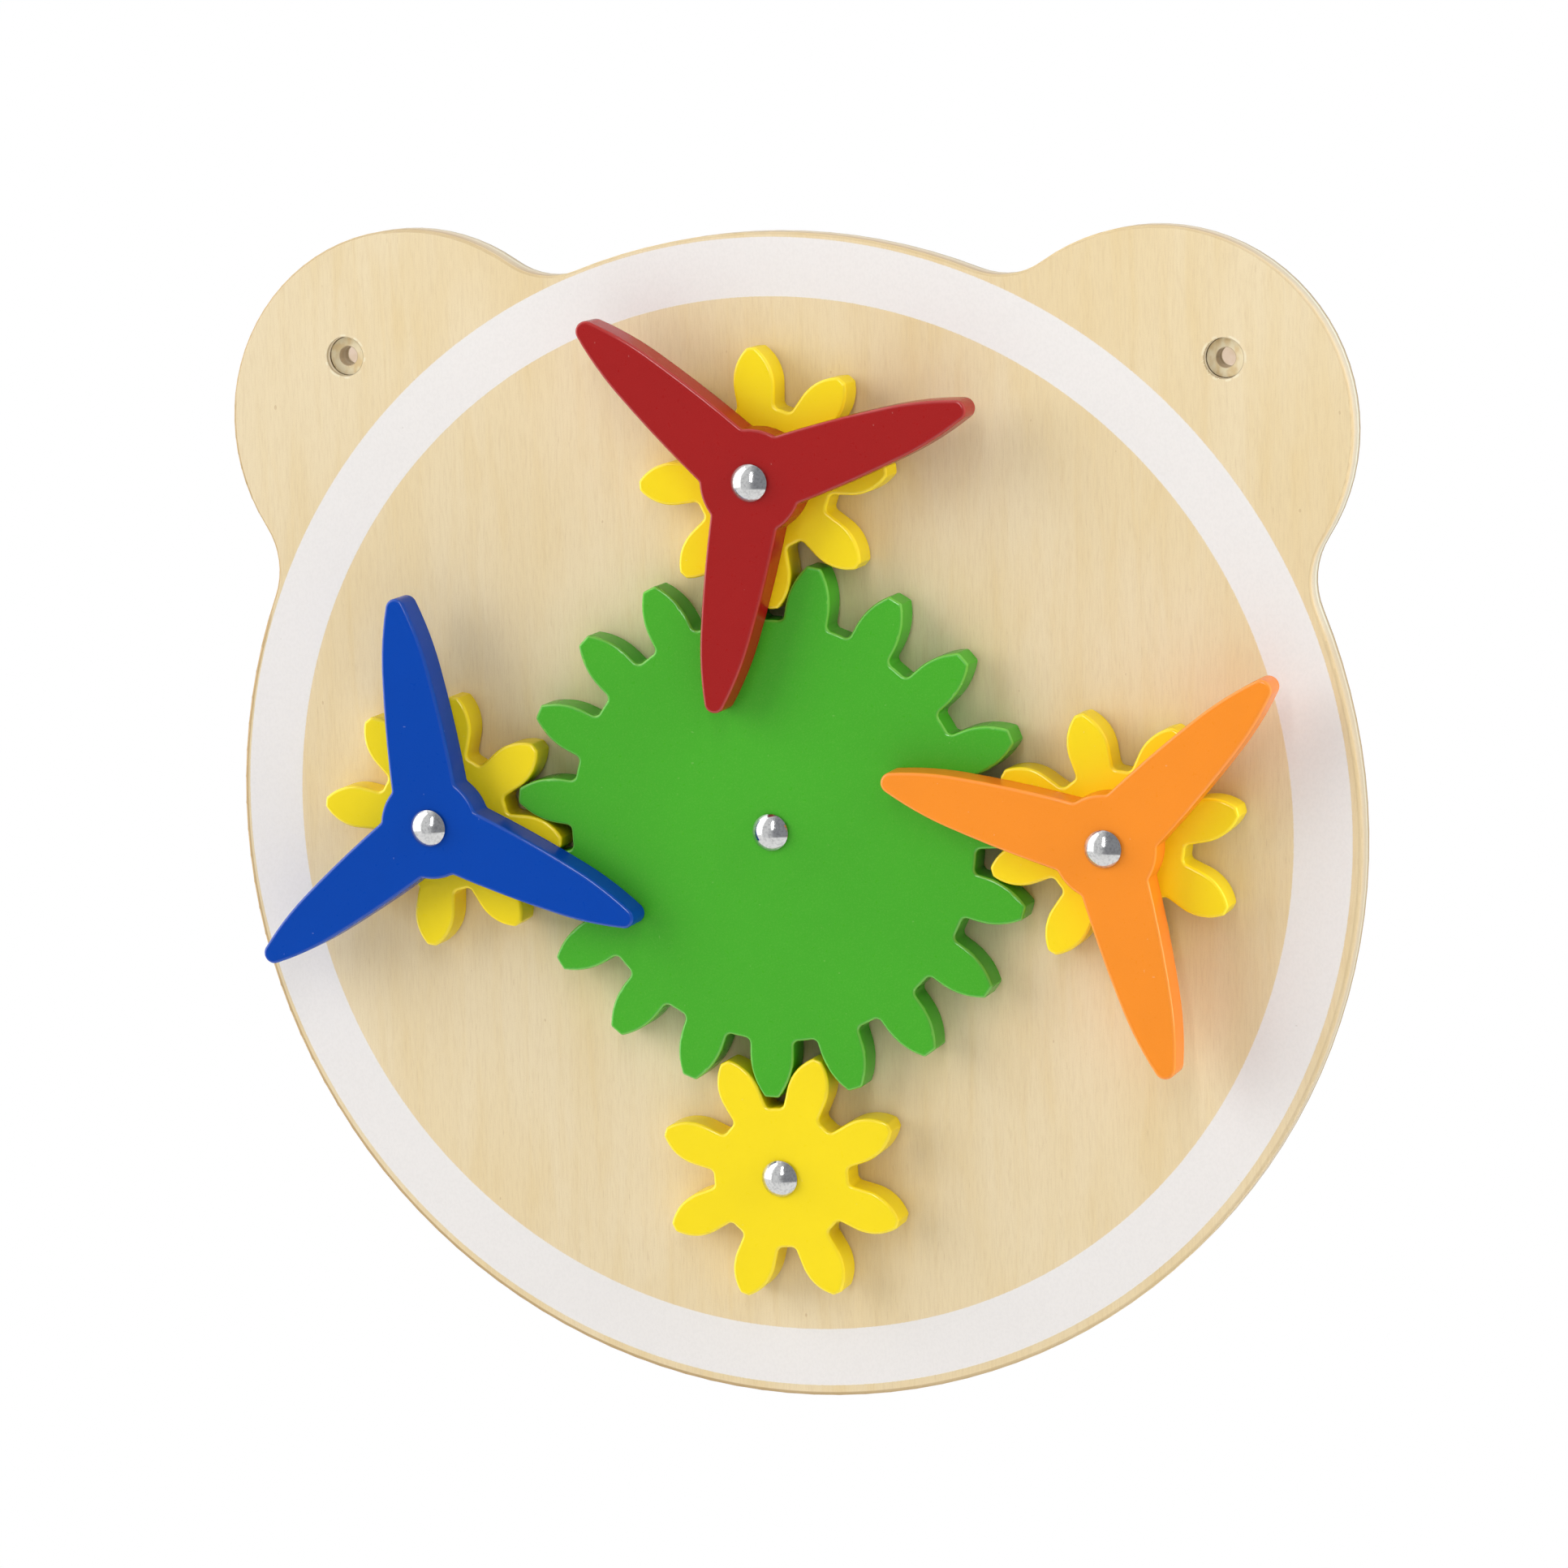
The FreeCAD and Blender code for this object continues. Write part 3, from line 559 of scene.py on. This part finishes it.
# one fibre along x from the origin, flat, its far end curled off the board
def makeFibre():
    half = splinters["length"] / 2
    bpy.ops.mesh.primitive_cone_add(vertices=6, radius1=splinters["thick"],
                                    radius2=splinters["thick"] * splinters["tip"],
                                    depth=splinters["length"], rotation=(0, math.pi / 2, 0))
    fibre = bpy.context.object
    bpy.ops.object.transform_apply(rotation=True)
    bpy.ops.object.mode_set(mode="EDIT")
    for share in (-0.4, 0.1, 0.55):
        bpy.ops.mesh.select_all(action="SELECT")
        bpy.ops.mesh.bisect(plane_co=(half * share, 0, 0), plane_no=(1, 0, 0))
    bpy.ops.mesh.select_all(action="SELECT")
    bpy.ops.transform.resize(value=(1, splinters["flatness"], 1), center_override=(0, 0, 0))
    bpy.ops.object.mode_set(mode="OBJECT")
    for point in fibre.data.vertices:
        along = (point.co.x + half) / splinters["length"]
        point.co.y -= splinters["curl"] * along * along
        point.co.x += half
    return fibre


def makeTornWood():
    material, tree, surface, coords = newMaterial("tornWood", {"IOR": 1.45, "Specular IOR Level": 0.2})
    figure = useGroup(tree, grainFigure, {"Coords": coords, "Pale": board["torn"], "Warm": board["pale"],
                                          "Fibre": board["seatTan"]})
    fill(tree, surface, {"Base Color": figure["Color"], "Roughness": figure["Roughness"],
                         "Normal": bump(tree, figure["Height"], 0.00002)})
    return material


def makeSplinters():
    bpy.ops.object.select_all(action="DESELECT")
    first = makeFibre()
    radius = board["seatRadius"] * 1.01
    made = []
    for angle, length, lean in zip(splinters["angles"], splinters["lengths"], splinters["leans"]):
        item = first.copy()
        item.data = first.data.copy()
        bpy.context.scene.collection.objects.link(item)
        across = radius * math.cos(math.radians(angle))
        spot = Vector((board["holeReach"] + across, -board["thick"], radius * math.sin(math.radians(angle))))
        turned = Matrix.Rotation(-math.radians(angle + lean), 4, "Y")
        item.data.transform(Matrix.Translation(spot) @ turned @ Matrix.Diagonal((length, length, 1, 1)))
        made.append(item)
    bpy.data.objects.remove(first)
    for item in made:
        item.select_set(True)
    bpy.context.view_layer.objects.active = made[0]
    bpy.ops.object.join()
    whole = bpy.context.object
    whole.name = "screw_seat_splinters"
    bpy.ops.object.mode_set(mode="EDIT")
    bpy.ops.mesh.select_all(action="SELECT")
    bpy.ops.mesh.normals_make_consistent(inside=False)
    bpy.ops.object.mode_set(mode="OBJECT")
    whole.data.materials.append(makeTornWood())
    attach(whole, "root")


makeSplinters()
print("torn fibres placed")


# Studio: soft boxes at both sides and behind, a strip and a fill in front, a pale floor, a white surround,
# and glowing screens that only mirror reflections see, which are painted reflections. Azimuths and heights
# are in degrees round the aim
aim = Vector((0, 0, -0.13))
lamps = {
    "leftBox": {"azimuth": -70, "height": 22, "far": 4.6, "size": (5.4, 4.0), "power": 252},
    "rightBox": {"azimuth": 91, "height": 24, "far": 4.0, "size": (2.2, 3.6), "power": 136},
    "frontStrip": {"azimuth": 8, "height": 34, "far": 0.88, "size": (0.07, 0.6), "power": 1.2},
    "rightFill": {"azimuth": 50, "height": 30, "far": 0.9, "size": (0.8, 0.8), "power": 0.9},
    "backBox": {"azimuth": 180, "height": 30, "far": 1.8, "size": (1.4, 1.2), "power": 15},
}
studio = {"surround": 0.18, "floorHeight": -0.75, "floorSize": 30.0, "floorColor": tint(238, 238, 238),
          "whiteFrom": 0.8, "whiteTo": 1.3}


def direction(azimuth, height):
    azimuth = math.radians(azimuth)
    height = math.radians(height)
    level = math.cos(height)
    return Vector((math.sin(azimuth) * level, -math.cos(azimuth) * level, math.sin(height)))


# the lamps give soft light and show in no mirror reflection
def makeLamp(name, lamp):
    data = bpy.data.lights.new(name, "AREA")
    data.shape = "RECTANGLE"
    data.size, data.size_y = lamp["size"]
    data.energy = lamp["power"]
    item = bpy.data.objects.new(name, data)
    bpy.context.scene.collection.objects.link(item)
    toward = direction(lamp["azimuth"], lamp["height"])
    turned = toward.to_track_quat("Z", "Y").to_matrix().to_4x4()
    item.matrix_world = Matrix.Translation(aim + toward * lamp["far"]) @ turned
    item.visible_camera = False
    item.visible_glossy = False


# 1 where the camera sees it, also by a mirror reflection or through something clear
def seenDirectly(tree):
    path = add(tree, "ShaderNodeLightPath", {}).outputs
    seen = maths(tree, "MAXIMUM", path["Is Camera Ray"], path["Is Glossy Ray"])
    return maths(tree, "MAXIMUM", seen, path["Is Transmission Ray"])


# white where it is seen directly, a plain soft light otherwise
def makeSurround():
    world = bpy.data.worlds.new("whiteSurround")
    bpy.context.scene.world = world
    world.use_nodes = True
    tree = world.node_tree
    soft = add(tree, "ShaderNodeBackground", {"Color": (1, 1, 1, 1), "Strength": studio["surround"]})
    white = add(tree, "ShaderNodeBackground", {"Color": (1, 1, 1, 1), "Strength": 1.0})
    seen = seenDirectly(tree)
    choice = add(tree, "ShaderNodeMixShader", {0: seen, 1: soft.outputs[0], 2: white.outputs[0]})
    fill(tree, tree.nodes["World Output"], {"Surface": choice.outputs[0]})


# pale under the object, and as white as the surround further out
def makeFloor():
    bpy.ops.object.select_all(action="DESELECT")
    bpy.ops.mesh.primitive_plane_add(size=studio["floorSize"], location=(0, 0, studio["floorHeight"]))
    floor = bpy.context.object
    floor.name = "studioFloor"
    settings = {"Base Color": studio["floorColor"], "Roughness": 0.8}
    material, tree, surface, coords = newMaterial("paleFloor", settings)
    away = add(tree, "ShaderNodeVectorMath", {0: coords}, operation="LENGTH").outputs["Value"]
    bright = times(tree, seenDirectly(tree), ramp(tree, away, studio["whiteFrom"], studio["whiteTo"]))
    glow = add(tree, "ShaderNodeEmission", {"Color": (1, 1, 1, 1), "Strength": 1.0})
    choice = add(tree, "ShaderNodeMixShader", {0: bright, 1: surface.outputs[0], 2: glow.outputs[0]})
    fill(tree, tree.nodes["Material Output"], {"Surface": choice.outputs[0]})
    floor.data.materials.append(material)


for name, lamp in lamps.items():
    makeLamp(name, lamp)
makeSurround()
makeFloor()
print("lamps and floor placed")


# A glowing disc just behind each screw hole, painted with the shade of a ground seen through the hole, which
# shows from the front only
holeGround = {"sides": {"left": -1, "right": 1}, "radius": 0.006, "behind": 0.0004,
              "light": tint(228, 205, 184), "shade": tint(218, 194, 166)}


def makeShade():
    material, tree, surface, coords = newMaterial("shadedGround", {})
    tree.nodes.remove(surface)
    clouds = ramp(tree, noise(tree, coords, even, 300, 2), 0.3, 0.7)
    color = mix(tree, clouds, holeGround["light"], holeGround["shade"])
    # the disc glows with the painted shade
    glow = add(tree, "ShaderNodeEmission", {"Color": color, "Strength": 1.0})
    clear = add(tree, "ShaderNodeBsdfTransparent", {})
    behind = add(tree, "ShaderNodeNewGeometry", {}).outputs["Backfacing"]
    choice = add(tree, "ShaderNodeMixShader", {0: behind, 1: glow.outputs[0], 2: clear.outputs[0]})
    fill(tree, tree.nodes["Material Output"], {"Surface": choice.outputs[0]})
    return material


def makeHoleGrounds():
    material = makeShade()
    for side, sign in holeGround["sides"].items():
        bpy.ops.object.select_all(action="DESELECT")
        bpy.ops.mesh.primitive_circle_add(vertices=32, radius=holeGround["radius"], fill_type="NGON",
                                          location=(sign * board["holeReach"], holeGround["behind"], 0),
                                          rotation=(math.pi / 2, 0, 0))
        item = bpy.context.object
        item.name = side + "HoleGround"
        bpy.ops.object.transform_apply(location=True, rotation=True)
        item.visible_shadow = item.visible_diffuse = False
        item.data.materials.append(material)


makeHoleGrounds()
print("grounds behind the screw holes placed")


# Painted reflections: glowing screens round the object that only mirror reflections see, with their tones
# from left to right; the bright front one paints a glint
screens = {
    "dimCurtain": {"far": 0.95, "azimuths": (-46, 89), "heights": (-27, 90), "strength": 1.0, "folds": 0.35,
                   "left": tint(246, 247, 248), "right": tint(160, 162, 167)},
    "frontScreen": {"far": 0.88, "azimuths": (2, 12), "heights": (12, 55), "strength": 10.0, "folds": 0.05,
                    "left": tint(255, 255, 255), "right": tint(255, 255, 255)},
    "leftScreen": {"far": 1.25, "azimuths": (-112, -40), "heights": (-16, 62), "strength": 2.0, "folds": 0.05,
                   "left": tint(250, 250, 250), "right": tint(255, 255, 255)},
    "rightScreen": {"far": 1.25, "azimuths": (84, 112), "heights": (-8, 60), "strength": 4.0, "folds": 0.05,
                    "left": tint(255, 255, 255), "right": tint(250, 250, 250)},
}


# the glow of a painted reflection, from its left tone to its right one, with darker mottle
def makeCloth(name, screen):
    material, tree, surface, coords = newMaterial(name + "Cloth", {})
    tree.nodes.remove(surface)
    across = add(tree, "ShaderNodeSeparateXYZ", {0: coords}).outputs[0]
    folds = times(tree, noise(tree, coords, (1, 1, 0.2), 9, 2), screen["folds"])
    color = mix(tree, ramp(tree, across, -0.25, 0.35), screen["left"], screen["right"])
    color = mix(tree, folds, color, (0.02, 0.02, 0.02, 1))
    glow = add(tree, "ShaderNodeEmission", {"Color": color, "Strength": screen["strength"]})
    fill(tree, tree.nodes["Material Output"], {"Surface": glow.outputs[0]})
    return material


# part of a sphere round the aim
def makeScreen(name, screen):
    bpy.ops.object.select_all(action="DESELECT")
    bpy.ops.mesh.primitive_uv_sphere_add(segments=120, ring_count=60, radius=screen["far"], location=aim)
    item = bpy.context.object
    item.name = name
    bpy.ops.object.transform_apply(location=True)
    bpy.ops.object.mode_set(mode="EDIT")
    bpy.ops.mesh.select_mode(type="FACE")
    bpy.ops.mesh.select_all(action="DESELECT")
    bpy.ops.object.mode_set(mode="OBJECT")
    leftmost, rightmost = screen["azimuths"]
    lowest, highest = screen["heights"]
    for polygon in item.data.polygons:
        spot = polygon.center - aim
        azimuth = math.degrees(math.atan2(spot.x, -spot.y))
        height = math.degrees(math.atan2(spot.z, math.hypot(spot.x, spot.y)))
        polygon.select = not (leftmost < azimuth < rightmost and lowest < height < highest)
    bpy.ops.object.mode_set(mode="EDIT")
    bpy.ops.mesh.delete(type="FACE")
    bpy.ops.object.mode_set(mode="OBJECT")
    item.data.materials.append(makeCloth(name, screen))
    item.visible_camera = item.visible_transmission = item.visible_diffuse = item.visible_shadow = False


for name, screen in screens.items():
    makeScreen(name, screen)
print("screens placed")


# Camera at the photograph's place, with its frame's width and lens in millimetres
view = {"place": Vector((0.51340, -1.49544, 0.12990)), "right": Vector((0.946214, 0.322470, -0.026287)),
        "up": Vector((-0.026287, 0.157604, 0.987152)), "back": Vector((0.322470, -0.933367, 0.157604)),
        "width": 36.0, "lens": 128.98, "farthest": 100.0}


def placeCamera():
    data = bpy.data.cameras.new("photoCamera")
    data.sensor_width = view["width"]
    data.lens = view["lens"]
    data.clip_end = view["farthest"]
    camera = bpy.data.objects.new("photoCamera", data)
    bpy.context.scene.collection.objects.link(camera)
    turn = Matrix((view["right"], view["up"], view["back"])).transposed()
    camera.matrix_world = Matrix.Translation(view["place"]) @ turn.to_4x4()
    bpy.context.scene.camera = camera
    bpy.context.scene.view_settings.view_transform = "Standard"


placeCamera()
print("camera placed")

print("scene ready")
